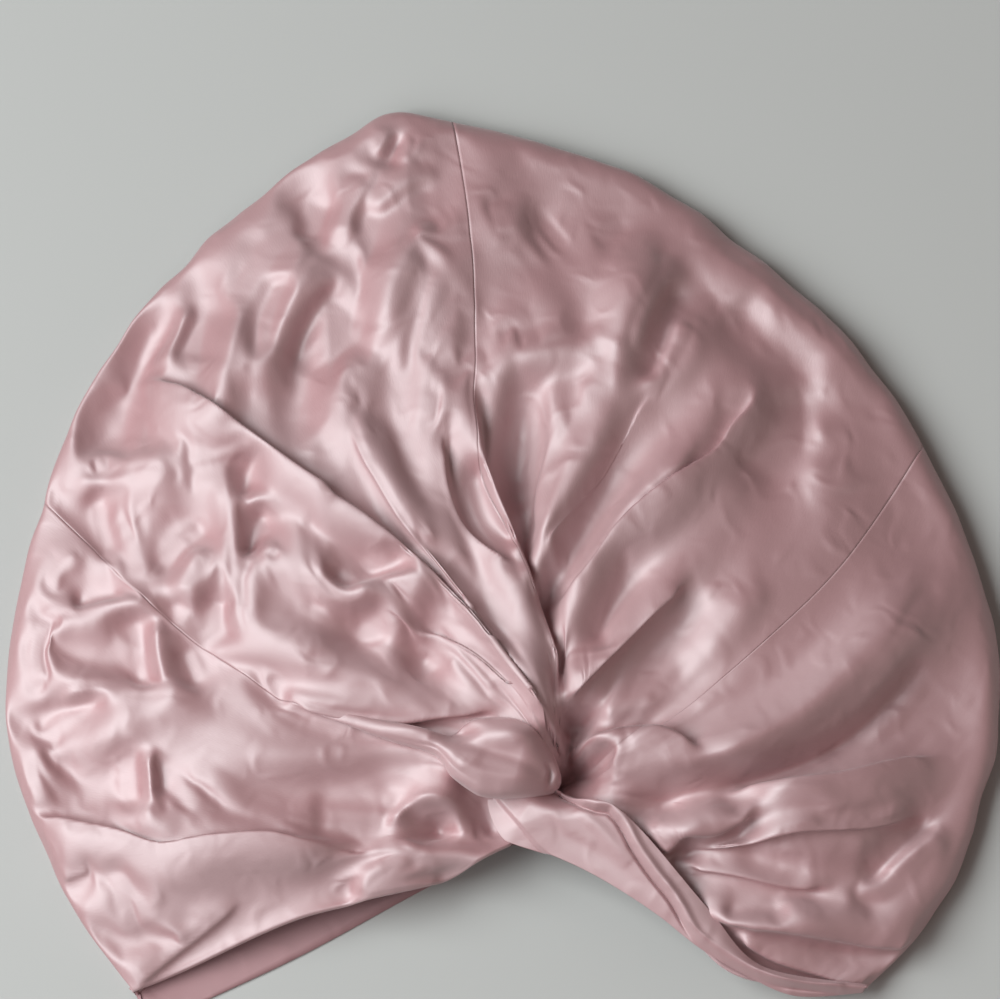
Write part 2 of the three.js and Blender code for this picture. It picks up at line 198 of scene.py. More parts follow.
# Fold lines that the cloth lies over. Each has its points in plan, its height (a trough's is below zero),
# how round it is and, where it steps down like an overlap, the side of that, seen along it
LEFT, RIGHT = 1, -1
FOLD_LINES = dict(
    # The sheaf of pleats that runs into the twist from the upper left
    long_edge=([
        (23, -67), (16, -58.5), (8, -50), (-1, -39), (-11, -25.5), (-23, -12), (-37.5, 1.6), (-49, 10.6),
        (-63, 21), (-74, 29.5),
    ], 4, 1.0, RIGHT),
    long_edge_far=([
        (-52, 12.8), (-63, 21), (-74, 29.5), (-100, 50), (-112, 58), (-124, 64.5),
    ], 5, 1.5, RIGHT),
    sheaf_edge=([
        (3, -33.5), (-3.6, -25.5), (-12.5, -15), (-23, -1.4), (-33, 10.6), (-42, 25.7), (-48, 36),
        (-52, 48),
    ], 2.4, 1.0, LEFT),
    sheaf_hook=([(-52, 48), (-57, 56), (-56, 63), (-48.6, 63), (-44.6, 73)], 2.5, 1.5),
    slit_crest=([
        (6, -7.4), (-5, -2.2), (-15, 7.6), (-20, 19.7), (-21.6, 30), (-21, 38), (-19, 44),
    ], 3.2, 1.2, RIGHT),
    slit_floor=([(-0.7, 1.6), (-9.5, 10.6), (-14, 22.7), (-14.7, 32)], -4, 1.5),
    overlap_edge=([
        (18.8, -54), (16.3, -39), (11, -22.5), (6.7, -9), (2.3, 3), (-4.4, 19.7), (-9.5, 35), (-10.4, 51),
        (-10, 65),
    ], 5, 1.0, RIGHT),
    pleat=([(-17, -18), (-7, -31), (2, -42)], 1.6, 0.8),
    # The crown's upper left
    rim_wedge=([(-129, 36), (-126.5, 66), (-120, 77), (-113, 88)], -3.4, 2.5),
    rim_crest=([(-120, 67), (-114, 78), (-109.6, 89)], 2.5, 1.5),
    far_shade=([(-107.6, 67), (-103.6, 78), (-97, 89)], -1.8, 5),
    light_band=([(-93, 56), (-93, 73), (-89, 90), (-78, 110), (-70, 119)], 2, 4),
    fork_left=([(-80, 64.6), (-77.5, 78), (-71.4, 95), (-66, 104)], 1.6, 2.2),
    fork_right=([(-79, 71), (-73, 86.5), (-60.7, 100)], 1.2, 2),
    fork_shade=([(-78, 97.5), (-85, 78), (-83.5, 67)], -1.8, 4),
    dark_bowl=([(-54, 89), (-64.7, 77), (-74, 62)], -3, 6),
    upper_band=([(-59.4, 110), (-56.7, 123.5), (-52.7, 136)], 2.6, 2.5),
    upper_shade=([(-71.4, 110), (-63.4, 127.6)], -2.6, 3),
    top_dent=([(-54, 111), (-40.6, 116.6), (-32.6, 123.5), (-24.5, 126)], -1.8, 5),
    top_light=([(-50, 122), (-38, 130), (-28.5, 138.6)], 1.3, 3),
    tip_crest=([(-47, 141), (-42, 148.5)], 2, 1.4),
    tip_fold=([(-38, 137), (-35, 148)], 2, 1.3),
    tip_shade=([(-43, 136), (-39.5, 148)], -2, 1.6),
    seam_ridge=([(-31, 104), (-34.6, 92), (-40.6, 78), (-46, 67), (-47.3, 62)], 2.2, 2.2),
    seam_ridge_top=([(-34, 114), (-27, 110), (-14, 111)], 1.6, 1.5),
    seam_pucker=([(-27, 67), (-19, 63), (-10, 68.7)], 1.2, 1.2),
    seam_pucker_high=([(-30, 67), (-28.5, 74), (-20.5, 86.5), (-12.5, 84)], 1.6, 1.5),
    seam_light=([(-28.5, 56), (-30, 43)], 2, 2),
    # Below the long edge
    shelf=([(-149, 29.5), (-134, 29), (-121, 29.5), (-111, 27.5)], 2.6, 1.5),
    hook_crest=([(-110, 33.7), (-100.7, 35), (-92.7, 36.4), (-90, 34)], 2, 1.2),
    hook_shade=([(-87, 34), (-90, 27.5), (-91, 20.6)], -3.4, 1.5),
    puff_brow=([(-90.7, 18), (-84.6, 19.3), (-76.6, 18), (-71, 13.8), (-68.5, 7)], 3, 1.2),
    puff_hollow=([(-83, 16.5), (-86.6, 9.7), (-89, -1.3)], -4, 1.8),
    small_ridge=([(-92.7, -4), (-87, 0), (-82, 1.5), (-79, -1.3)], 2.2, 1.2),
    spine=([(-98, 30), (-96, 20.6), (-94, 8.3), (-92.7, -4), (-93.3, -17.7), (-90.7, -28.7)], 3, 1.4),
    diagonal_shade=([(-102, 13.8), (-110, 7), (-118, -1.3), (-121.5, -5.4)], -4.4, 2.5),
    diagonal_light=([(-103.4, 2.8), (-107.4, -5.4), (-110, -15)], 2.5, 2.5),
    rim_shade=([(-141, 26), (-137.5, 12.4), (-135.5, 0)], -4, 2),
    rim_shade_low=([(-134, 18), (-127.5, 4), (-122, -5.4)], -2, 1.5),
    wedge_light=([(-146, 4), (-153, -2.7), (-154, -9.5)], 2, 1.5),
    wedge_shade=([(-147.6, -15), (-139.6, -12), (-130, -10)], -3.4, 1.8),
    seam_bowl=([(-98, -12), (-99.4, -23), (-95.3, -30)], -4, 3),
    seam_bowl_left=([(-114, -13.6), (-111.4, -22)], -2.6, 2),
    puff_crest=([
        (-68.5, 0), (-64.5, -7), (-56.5, -15), (-50, -12), (-40.4, -9), (-32, -14), (-24.5, -22.5),
    ], 3.6, 1.3),
    puff_shade=([(-63, -4), (-56.5, -8), (-47, -5.4), (-34.5, -2.7)], -3.4, 2),
    puff_side=([(-66, -16), (-68.5, -26), (-66, -37)], 2, 2),
    puff_dent=([(-50, -19), (-47, -31)], -3, 3.5),
    cup=([(-29, -32), (-31, -37), (-32, -43)], -4, 1.5),
    cup_edge=([
        (-31, -26), (-22, -30), (-12, -36), (-4, -43.5), (5, -52.7), (13, -63), (19, -72),
    ], 3, 1.0, LEFT),
    cheek_line=([
        (-74, -47), (-60, -52.7), (-37.5, -56), (-18.4, -54), (-5, -52.7), (4, -55.7),
    ], 3, 1.2, RIGHT),
    seam_pinch=([(-82, -39.6), (-76.6, -50.6)], -2, 1.5),
    # The left side band
    band_top=([(-161, -15), (-147.6, -16.4), (-134, -15), (-123.5, -16.4), (-118, -19)], 2.6, 1.4),
    box_brow=([(-156, -18), (-160, -31), (-159, -44)], 2.6, 2),
    box_floor=([(-128, -17), (-125, -32), (-122, -45)], -4, 2.5),
    box_edge=([(-119, -22), (-119.5, -31.4), (-117, -44)], 2.6, 1.2),
    box_corner=([(-111.4, -28.7), (-107.4, -37), (-105.4, -45)], -4, 1.8),
    box_ridge=([(-154, -45), (-134, -44), (-117, -45), (-103.4, -47)], 3, 1.5),
    edge_dent=([(-161, -56), (-151.6, -50.6), (-141, -47.2), (-135.5, -46.5)], -3.4, 1.8),
    low_box_brow=([(-160, -60), (-161, -70), (-157, -82)], 2.4, 2),
    low_box=([(-131, -62), (-128, -71), (-126, -84)], -4, 2.5),
    low_ridge=([(-121.5, -65.5), (-120.7, -76), (-122, -90.5)], 3, 1.4),
    low_ridge_shade=([(-119, -67), (-117, -80)], -2.6, 2),
    band_shade=([(-70, -87), (-49, -85), (-35, -73)], -4, 5),
    flap_edge=([
        (-161, -85), (-145, -89.6), (-129, -94), (-114, -99.4), (-98, -97.6), (-80.6, -96.7), (-63, -97.6),
        (-54, -99),
    ], 4, 1.0, LEFT),
    flap_nick=([(-148.5, -106.5), (-136, -103)], 1.6, 1.0, RIGHT),
    flap_light=([(-133, -103), (-127.6, -124)], 1.8, 2),
    hem_roll=([(-124, -143), (-112, -133), (-97, -122), (-84, -112)], 1.8, 1.2, RIGHT),
    eye=([(-29, -89.4), (-23, -91)], -5, 1.8),
    eye_swirl=([(-42, -90.5), (-35, -83), (-25, -82.4), (-19, -88), (-19.6, -92)], 3.2, 1.2),
    eye_lip=([(-39, -94), (-32, -99.4), (-19.6, -100), (-11, -101), (-2, -96.7)], 3, 1.2),
    tail_gap=([(-13, -79), (-10, -86), (-7, -94)], -5, 1.3),
    hem_slit=([(-28, -106), (-18, -106.5), (-12.7, -104)], -3.6, 1.0),
    hem_curl=([(-52.7, -113.6), (-47.5, -106.5), (-39, -102), (-32, -103)], 3.2, 1.3),
    hem_dip=([(-58, -108), (-54.5, -113.6)], -2.4, 2),
    # Gathers right of the overlap
    gully=([(6, -3), (2.3, 13.7), (1.5, 36), (3.8, 54)], -5, 2),
    gather_ridge=([(5, -4), (8.6, 8), (13.5, 21.4), (18, 34.4), (16, 45.4), (11, 57.4)], 3.2, 1.4),
    gather_slit=([(11, -3), (17, 4), (26, 14.4), (34.7, 25), (42, 38), (48, 50), (55, 59)], 2, 1.0, LEFT),
    gather_light=([(56, 83), (54, 73), (42.6, 52)], 2.5, 2),
    gather_round=([(14, -18), (26, -1.4), (39, 13.7), (51, 25.7), (57, 41)], 3.6, 2.5),
    gather_edge=([
        (12, -23.7), (23, -15), (32, -4.4), (39, 6), (48, 15), (58, 22.7), (72, 32.5), (78, 42),
        (84.5, 54), (82, 64),
    ], 3.6, 1.0, LEFT),
    gather_nick=([(27, -32), (30, -21), (34.7, -9), (37.7, 1.6)], -2.6, 1.3),
    gather_low=([
        (19, -53.4), (29, -40.6), (37.7, -31.6), (48, -21), (58, -12), (65.7, -7.7),
    ], 4.6, 1.0, RIGHT),
    gather_curl=([(67, -9), (64, -15), (61, -15.7)], 2.4, 1.2),
    gather_shade=([(89.5, 59), (93, 45), (76, 25)], -3, 4),
    gather_far=([(103, 35), (109.6, 21)], 1.2, 4),
    # The crown's upper right
    dark_spot=([(9, 110.5), (16, 115.6)], -3, 4.5),
    seam_glow=([(-6, 124), (-2.6, 110.5)], 1.8, 2.5),
    bump_side=([(49, 107), (51, 98.5), (42.6, 81), (39, 69)], 2, 2),
    bump_shade=([(54, 95), (47.6, 78), (44, 59)], -2, 2.5),
    bump_hook=([(27.5, 115.6), (31, 110.5), (37.6, 120)], -1.6, 1.5),
    bump_hem=([(-7.6, 76), (0.7, 81), (5.7, 73), (4, 66), (9, 69.4), (19, 71), (31, 67.7)], 1.8, 1.6),
    shoulder=([(66, 107), (79.5, 93), (96, 79.6), (109.6, 66), (121, 54)], 1.3, 5),
    shoulder_shade=([(73, 90), (89.5, 78), (103, 64)], -1.4, 6),
    shoulder_crease=([(99.6, 43.7), (109.6, 45.4), (121, 53)], 1, 1.8),
    # The right side band
    lobe_wrinkle=([(27.7, -53.7), (37, -50.6), (47.7, -47.4)], 2, 1.5),
    pit=([(17, -52), (19.5, -60), (20.5, -67), (20, -76)], -12, 2.6),
    pit_trough=([(20, -64), (32, -60), (49, -59.3)], -3.6, 1.0),
    puff_top=([
        (21.5, -69.5), (29, -64.4), (41.6, -62), (52, -62.5), (60, -66.3), (68, -68.7),
    ], 4, 1.3, LEFT),
    sweep=([
        (58.5, -65), (78.6, -67), (94, -63), (108, -54), (123, -38), (132.5, -22), (140, -6.5),
    ], 4.4, 2.5),
    sweep_shade=([(66, -83.7), (84.7, -74), (105, -65), (123, -50.6), (135.6, -33)], -4, 3),
    pit_fold=([(31, -77.4), (34, -69.5), (37, -65)], 2.4, 1.2),
    pit_shade=([(27.7, -80.5), (30, -72.6)], -2, 1.2),
    puff_tuck=([(46, -83.7), (54, -84.5)], -1.6, 1.2),
    side_line=([(71, -81), (92.4, -79), (112.5, -76), (132.5, -70), (151, -65.6)], 3, 1.2, LEFT),
    ruffle=([
        (48, -98), (53, -98.5), (58, -94.5), (64, -93), (71, -92), (78, -89), (86, -86),
    ], 4.2, 1.0, RIGHT),
    ruffle_slit=([(55, -97), (62, -95.5), (70, -94), (78, -91)], -3.6, 1.1),
    ruffle_under=([(54, -100), (58.5, -98), (66, -96)], -2.4, 0.9),
    layer_shade=([(71, -95), (86, -98), (105, -99.4), (117, -96)], -1.8, 2.5),
    layer_top=([(55, -96.5), (77, -96.3), (98.6, -92.3), (120, -90), (145, -83.7)], 3, 1.0, RIGHT),
    layer_one=([(58.5, -102.6), (77, -105.7), (92.4, -109), (111, -110.5)], 3.2, 1.0, RIGHT),
    layer_hollow=([(68, -117), (78, -116.5), (90, -118)], -3, 1.2),
    layer_two=([
        (62, -119), (78, -122.5), (98, -125), (112, -126.5), (126, -128), (140, -127), (158, -121),
    ], 4, 1.0, RIGHT),
    layer_three=([
        (75.5, -124.6), (89.4, -132.5), (105, -137), (118.6, -141), (126, -140),
    ], 3.2, 1.0, RIGHT),
    corner_light=([(143, -90), (131, -99.4), (120, -110.5), (114, -117)], 3, 3),
    corner_shade=([(138.7, -85), (126, -96), (114, -108)], -3, 3),
)
LINE_CURVE_STEPS = 12
LINE_SAMPLES = 28
LINE_START = 0.15  # share of its length over which a line sets in
LINE_FADE = 0.78  # and from which it runs out
LINE_END_HEIGHT = 0.35  # share of its height at its ends
LINE_SCALE = 1.25  # how bold all lines are
LINE_NEAR = 9  # how far round it a line is felt
LINE_CLEAR = 3  # lines die out this near the rim
LIT_SHIFT = (4.5, -0.8)  # a line without a step is a lit or dark side, and its fold lies beside it
STEP_OUT = 2.1  # how far beside its crest a step's foot is
STEP_WIDTH = 0.7
STEP_DEPTH = 0.25  # the foot's depth as a share of the crest's height
STEP_LEAN = 2.6  # how far the crest leans over it
FULL_LEAN_HEIGHT = 3.5  # lower crests lean less
LEAN_FRONT = 1.1  # how far the leaning reaches on the step's side
LEAN_BACK = 4  # and behind the crest
LEAN_CALM = dict(x=18, y=-62, reach=28)  # no room to lean close to the twist

# The skin over the fold lines, on a plan grid of 1 mm cells
SKIN_HALF = (172, 160)  # cells from its middle to its edges
SKIN_REACH = 22  # how far from its lines the skin sinks back
SKIN_HOLD = 4  # how firmly the lines hold it
SKIN_RIM_HOLD = 0.02  # and how firmly the rim holds it down
SKIN_RIM_REACH = 3
SKIN_ROUNDS = 400
SKIN_DRIVE = 1.9  # how far a cell goes in a round, 1 being to its balance

# Cloth of the front
FRONT_COLUMNS = dict(side_left=150, crown_left=220, crown_right=200, side_right=180)
FRONT_ROWS = 200
ROW_CROWDING = 1.3  # rows are closer together at the rim
# Each grid's coarseness, rounds, share of the spare cloth and stiffness
LEVELS = ((8, 250, 1.0, 0.3), (4, 160, 1.0, 0.3), (2, 100, 0.8, 0.2), (1, 40, 0.5, 0.12))
SPARE_ACROSS = 0.08  # spare cloth round the fan
SPARE_ALONG = 0.02  # and from the twist outwards
SPARE_PATCHES = (40, 26)  # rows and columns between places with more and less of it
PATCH_LEVEL = 0.6  # its share between those places
PATCH_SWING = 0.9  # and how much more or less they have
CRUMPLED = dict(x=-95, y=0, reach=95, more=0.02)  # the left side has been lain on
RIGHT_CALM = 0.75  # share of the spare cloth that the right side lacks
RIGHT_START = 10  # where that side begins
RIGHT_REACH = 70  # and how much further on it is calmest
TWIST_CALM = 0.25  # share of the fan at the twist in which waves and spare cloth set in
RIM_CALM = 0.05  # and at the rim
PULL = 0.003  # how strongly the cloth keeps to its shape
LINE_PULL = 0.2  # and to its fold lines
RIM_PULL = 0.3  # and to its rim
EDGE_PULL = 0.2  # and to its edges at the face opening
RIM_SWAY = 1.2  # how far the rim sways in and out
RIM_SWAY_COLUMNS = 13
SWAY_START = 0.7  # how far out in the fan that sets in
SWAY_REACH = 0.3
WAVES = (((60, 30), 1.6), ((34, 12), 0.6))  # rows and columns apart and height of soft waves all over
BUMPS = (((44, 12), 1.0), ((26, 7), 0.5))  # and of the bumps at which the cloth starts to buckle
SEED = 11
RIPPLE_GAIN = 16  # how much of the shortest ripple stiffen feels
TINY = 1e-9  # keeps lengths above zero

# Looks
FRONT_LOOK = dict(colour=(0.38, 0.16, 0.17), roughness=0.66)
# The back's inside is the same silk in a darker colour: painted shade for the shadow it lies in under the
# front's hem
SHADED_INSIDE_LOOK = dict(colour=(0.30, 0.10, 0.11), roughness=0.9)
LUSTRE = {
    "Specular IOR Level": 1.0,
    "IOR": 2.2,
    "Anisotropic": 0.35,
    "Sheen Weight": 0.25,
    "Sheen Roughness": 0.35,
    "Sheen Tint": (1.0, 0.88, 0.88, 1),
}
TONES_A_METRE = 14
TONE_DARK = 0.93  # how dark the darker patches are
TONE_STOPS = (0.3, 0.7)
THREADS_A_METRE = (2600, 420, 1)
THREAD_STRENGTH = 0.25
THREAD_DEPTH = 0.0002
CREASES_A_METRE = 90
CREASE_DISTORTION = 0.6
CREASE_DEPTH = 0.0007
TABLE_COLOUR = (0.43, 0.415, 0.40, 1)
TABLE_ROUGHNESS = 0.6
TABLE_HALF = 6  # metres from its middle to its edges

# Light and camera, in metres, watts and degrees
LIGHTS = dict(  # place, aim, size, power and colour
    window=((-1.5, 0.05, 1.65), (0, 0, 0), 1.6, 70, (0.90, 0.985, 1.0)),
    low_window=((-0.8, -0.8, 0.95), (-0.1, -0.1, 0), 0.9, 5, (0.93, 0.97, 1.0)),
    wall=((1.6, -0.4, 1.1), (0, 0, 0), 2.0, 6, (1.0, 0.83, 0.77)),
)
ROOM_COLOUR = (1.0, 0.87, 0.83, 1)
ROOM_STRENGTH = 0.09
CAMERA_ELEVATION = 78
CAMERA_DISTANCE = 3.2
CAMERA_AIM = (-0.001, 0.0202, 0.020)
VIEW_WIDTH = 1 / 3  # metres across the picture at the aim
SENSOR = 36  # its width in millimetres


# Curves


def smooth01(x):
    """A smooth step from 0 at 0 to 1 at 1."""
    t = np.clip(x, 0, 1)
    return t**2 * (3 - 2 * t)


def away_from(spot, x, y):
    """A smooth step from 0 at a spot to 1 at its reach."""
    return smooth01(np.hypot(x - spot["x"], y - spot["y"]) / spot["reach"])


def smooth_curve(points, steps=40):
    """Points along the smooth curve through a few plan points."""
    pts = np.array(points, float)
    padded = np.vstack([pts[:1], pts, pts[-1:]])
    t = np.linspace(0, 1, steps, endpoint=False)[:, None]
    runs = []
    for a, b, c, d in zip(padded, padded[1:], padded[2:], padded[3:]):
        start, end = (c - a) / 2, (d - b) / 2
        cubic = (2 * b - 2 * c + start + end) * t**3
        square = (3 * c - 3 * b - 2 * start - end) * t**2
        runs.append(cubic + square + start * t + b)
    return np.vstack([*runs, pts[-1:]])


def along(line, share):
    """The places at these shares of a line's length."""
    steps = np.linalg.norm(np.diff(line, axis=0), axis=1)
    reach = np.concatenate([[0], np.cumsum(steps)])
    return np.stack([np.interp(share * reach[-1], reach, line[:, k]) for k in range(line.shape[1])], axis=-1)


def forked(branch, outer, share):
    """Places along a seam whose inner part is one of two branches."""
    inner = along(branch, np.clip(share / FORK_SHARE, 0, 1))
    rest = along(outer, np.clip((share - FORK_SHARE) / (1 - FORK_SHARE), 0, 1))
    return np.where((share < FORK_SHARE)[:, None], inner, rest)


RIM_STEPS = 40
RIM_SAMPLES = 240
HEM_SAMPLES = 40
rim = smooth_curve(RIM, RIM_STEPS)
rim_line = along(rim, np.linspace(0, 1, RIM_SAMPLES))
hem_left = smooth_curve(HEM_LEFT)
tail_foot = smooth_curve(TAIL_FOOT)
seam_outer = smooth_curve(SEAM_LEFT_OUTER)


def distance_to(line, x, y):
    """How far each place is from a line."""
    nearest = np.full(x.shape, np.inf)
    for (ax, ay), (bx, by) in zip(line, line[1:]):
        dx, dy = bx - ax, by - ay
        t = np.clip(((x - ax) * dx + (y - ay) * dy) / (dx * dx + dy * dy), 0, 1)
        np.minimum(nearest, (x - ax - t * dx) ** 2 + (y - ay - t * dy) ** 2, out=nearest)
    return np.sqrt(nearest)


def place_on(line, x, y):
    """How far along a line places are (0 to 1), how far off it, the side (1 is left) and the way left."""
    off = np.full(x.shape, np.inf)
    share = np.zeros(x.shape)
    side = np.ones(x.shape)
    left = np.zeros((*x.shape, 2))
    for i, (a, b) in enumerate(zip(line, line[1:])):
        dx, dy = b - a
        length = np.hypot(dx, dy)
        t = np.clip(((x - a[0]) * dx + (y - a[1]) * dy) / length**2, 0, 1)
        gap = np.hypot(x - a[0] - t * dx, y - a[1] - t * dy)
        closer = gap < off
        off[closer] = gap[closer]
        share[closer] = (i + t[closer]) / (len(line) - 1)
        side[closer] = np.where(dx * (y - a[1]) - dy * (x - a[0]) >= 0, 1, -1)[closer]
        left[closer] = (-dy / length, dx / length)
    return share, off, side, left


# Height of the front


def base_height(x, y):
    """The front without its folds."""
    from_rim = distance_to(rim_line, x, y)
    left_hem = along(hem_left, np.linspace(0, 1, HEM_SAMPLES))
    right_hem = along(tail_foot, np.linspace(TAIL_HIDDEN, 1, HEM_SAMPLES))
    from_hem = np.minimum(distance_to(left_hem, x, y), distance_to(right_hem, x, y))
    edge_roll = np.sqrt(1 - (1 - np.clip(from_rim / EDGE_REACH, 0, 1)) ** 2)
    roll = EDGE_SHARE * edge_roll + (1 - EDGE_SHARE) * smooth01(from_rim / SHOULDER_REACH)
    crown = CROWN_RISE * smooth01(from_rim / CROWN_REACH)
    hem = HEM_DROP * (1 - smooth01(from_hem / HEM_REACH))
    pit = HOLE["depth"] * (1 - away_from(HOLE, x, y))
    return RIM_HEIGHT + roll * (ROLL_RISE + crown - hem - pit)


def bezier(near, bend, far, steps=16):
    """Points of the curve from near to far that is drawn towards a bend."""
    t = np.linspace(0, 1, steps)[:, None]
    return (1 - t) ** 2 * near + 2 * t * (1 - t) * bend + t**2 * far


def swell(share, start=-0.25, full=0.15, fade=0.55, end=1.05):
    """How strong a broad fold is along its length."""
    return smooth01((share - start) / (full - start)) * (1 - smooth01((share - fade) / (end - fade)))


def broad_folds(x, y):
    """Height of all broad folds together, which die out at the rim."""
    total = np.zeros(x.shape)
    for near, bend, far, height, near_width, far_width, lean in BROAD_FOLDS.values():
        share, off, side, _ = place_on(bezier(near, bend, far), x, y)
        width = (near_width + (far_width - near_width) * share) * (1 + side * lean)
        total += FOLD_SCALE * height * (1 - np.clip(off / width, 0, 1) ** 2) ** 2 * swell(share)
    return total * smooth01(distance_to(rim_line, x, y) / FOLD_CLEAR)


# Fold lines and the skin over them


def even_line(points):
    """Even points along the smooth curve through a few plan points."""
    return along(smooth_curve(points, LINE_CURVE_STEPS), np.linspace(0, 1, LINE_SAMPLES))


def near_line(points, shift, x, y):
    """Which places feel a fold line, and there how far off it, the side, the way left and its strength."""
    low, high = np.min(points, axis=0) - LINE_NEAR, np.max(points, axis=0) + LINE_NEAR
    near = (x > low[0]) & (x < high[0]) & (y > low[1]) & (y < high[1])
    line = even_line(points) + shift
    share, off, side, left = place_on(line, x[near], y[near])
    strength = smooth01(share / LINE_START) * (1 - smooth01((share - LINE_FADE) / (1 - LINE_FADE)))
    return near, off, side, left, strength


def hold_skin():
    """How firmly each cell of the skin is held, and that times the height it is held at."""
    x, y = np.meshgrid(*(np.arange(-half, half + 1.0) for half in SKIN_HALF))
    hold = np.full(x.shape, 1 / SKIN_REACH**2)
    aim = np.zeros(x.shape)
    for points, height, roundness, *steps in FOLD_LINES.values():
        near, off, side, _, strength = near_line(points, 0 if steps else LIT_SHIFT, x, y)
        grip = SKIN_HOLD * np.exp(-((off / roundness) ** 2)) * strength
        hold[near] += grip
        aim[near] += grip * LINE_SCALE * height * (LINE_END_HEIGHT + (1 - LINE_END_HEIGHT) * strength)
        for step in steps:
            from_foot = off * side - step * STEP_OUT
            grip = SKIN_HOLD * np.exp(-((from_foot / STEP_WIDTH) ** 2)) * strength**2
            hold[near] += grip
            aim[near] -= grip * LINE_SCALE * height * STEP_DEPTH * strength
    hold += SKIN_RIM_HOLD * np.exp(-((distance_to(rim_line, x, y) / SKIN_RIM_REACH) ** 2))
    return hold, aim


def stretch_skin(hold, aim):
    """Heights of the stretched skin, by rounds over its odd and even cells in turn."""
    skin = np.zeros(hold.shape)
    inner = skin[1:-1, 1:-1]
    checks = np.indices(inner.shape).sum(axis=0) % 2
    for _ in range(SKIN_ROUNDS):
        for parity in (0, 1):
            around = skin[:-2, 1:-1] + skin[2:, 1:-1] + skin[1:-1, :-2] + skin[1:-1, 2:]
            level = (around + aim[1:-1, 1:-1]) / (4 + hold[1:-1, 1:-1])
            inner += SKIN_DRIVE * (checks == parity) * (level - inner)
    return skin


def fold_skin():
    """Heights of a skin over the crest lines and down into the trough lines, and how firmly it is held."""
    hold, aim = hold_skin()
    skin = stretch_skin(hold, aim)
    skin[1:-1] = (skin[:-2] + 2 * skin[1:-1] + skin[2:]) / 4
    skin[:, 1:-1] = (skin[:, :-2] + 2 * skin[:, 1:-1] + skin[:, 2:]) / 4
    return skin, np.clip(hold / SKIN_HOLD, 0, 1)


def cubic_weights(t):
    """Weights of four neighbours in a row for a place between the middle two."""
    return (
        0.5 * (-t + 2 * t**2 - t**3),
        0.5 * (2 - 5 * t**2 + 3 * t**3),
        0.5 * (t + 4 * t**2 - 3 * t**3),
        0.5 * (t**3 - t**2),
    )


def skin_at(skin, x, y):
    """The skin's height at plan places."""
    column, row = x + SKIN_HALF[0], y + SKIN_HALF[1]
    i = np.clip(column.astype(int), 1, skin.shape[1] - 3)
    j = np.clip(row.astype(int), 1, skin.shape[0] - 3)
    total = np.zeros(x.shape)
    for dj, wj in enumerate(cubic_weights(row - j)):
        for di, wi in enumerate(cubic_weights(column - i)):
            total += wj * wi * skin[j + dj - 1, i + di - 1]
    return total


def overhang(x, y):
    """How far the crests lean over their steps, in plan."""
    shift = np.zeros((*x.shape, 2))
    for points, height, _, *steps in FOLD_LINES.values():
        for step in steps:
            near, off, side, left, strength = near_line(points, 0, x, y)
            lean = step * STEP_LEAN * min(1, height / FULL_LEAN_HEIGHT)
            reach = np.where(side * step > 0, LEAN_FRONT, LEAN_BACK)
            shift[near] += (lean * np.exp(-((off / reach) ** 2)) * strength**2)[:, None] * left
    return shift * away_from(LEAN_CALM, x, y)[..., None]


# The fan of cloth


def fan(start, end, far, columns, v):
    """Plan places between two edges that leave the twist, out to a far edge."""
    s = np.linspace(0, 1, columns + 1)[:, None]
    bulge = along(far, s[:, 0]) - (far[0] * (1 - s) + far[-1] * s)
    straight = start[:, None] * (1 - s) + end[:, None] * s
    return straight + v[:, None, None] * bulge


def front_plan(v):
    """Plan places of the front's four panels, side by side in one grid."""
    lower, upper = (forked(smooth_curve(seam), seam_outer, v) for seam in (SEAM_LEFT_LOWER, SEAM_LEFT_UPPER))
    centre, right = (along(smooth_curve(seam), v) for seam in (SEAM_CENTRE, SEAM_RIGHT))
    hem, foot = along(hem_left, v), along(smooth_curve(SIDE_RIGHT_FOOT), v)
    sides = ((hem, lower), (upper, centre), (centre, right), (right, foot))
    ends = [end * RIM_STEPS for end in RIM_ENDS]
    panels = []
    for (start, end), a, b, columns in zip(sides, ends, ends[1:], FRONT_COLUMNS.values()):
        panels.append(fan(start, end, rim[a : b + 1], columns, v))
    panels[2:] = [panel[:, 1:] for panel in panels[2:]]
    return np.concatenate(panels, axis=1)


def soft_noise(shape, cell, rng):
    """Smooth random bumps from -1 to 1, the given numbers of grid rows and columns apart."""
    rows, columns = (int(np.ceil(n / c)) + 3 for n, c in zip(shape, cell))
    knots = rng.uniform(-1, 1, (rows, columns))

    def spread(values, count, apart):
        at = np.arange(count) / apart + 0.5
        low = at.astype(int)
        t = smooth01(at - low)[:, None]
        return values[low] * (1 - t) + values[low + 1] * t

    return spread(spread(knots, shape[0], cell[0]).T, shape[1], cell[1]).T


def layered_noise(shape, layers, rng):
    """Layers of soft noise, each with its spacing and its height."""
    return sum(height * soft_noise(shape, cell, rng) for cell, height in layers)


def spare_cloth(x, y, inside, rng):
    """Shares of spare cloth round the fan and along it: patchy, more at the left and less at the right."""
    crumpled = 1 - away_from(CRUMPLED, x, y)
    calmer = 1 - RIGHT_CALM * smooth01((x - RIGHT_START) / RIGHT_REACH)
    spares = []
    for spare in (SPARE_ACROSS, SPARE_ALONG):
        patches = np.clip(soft_noise(x.shape, SPARE_PATCHES, rng) * PATCH_SWING + PATCH_LEVEL, 0, 1)
        spares.append((spare + CRUMPLED["more"] * crumpled) * inside * calmer * patches)
    return spares


def rim_sway(plan, v, rng):
    """Shifts in plan that make the rim sway in and out."""
    sway = RIM_SWAY * soft_noise((1, plan.shape[1]), (1, RIM_SWAY_COLUMNS), rng)[0]
    way = plan - HUB
    way /= np.linalg.norm(way, axis=-1, keepdims=True)
    return way * (sway * smooth01((v - SWAY_START) / SWAY_REACH)[:, None])[..., None]


# Relaxing


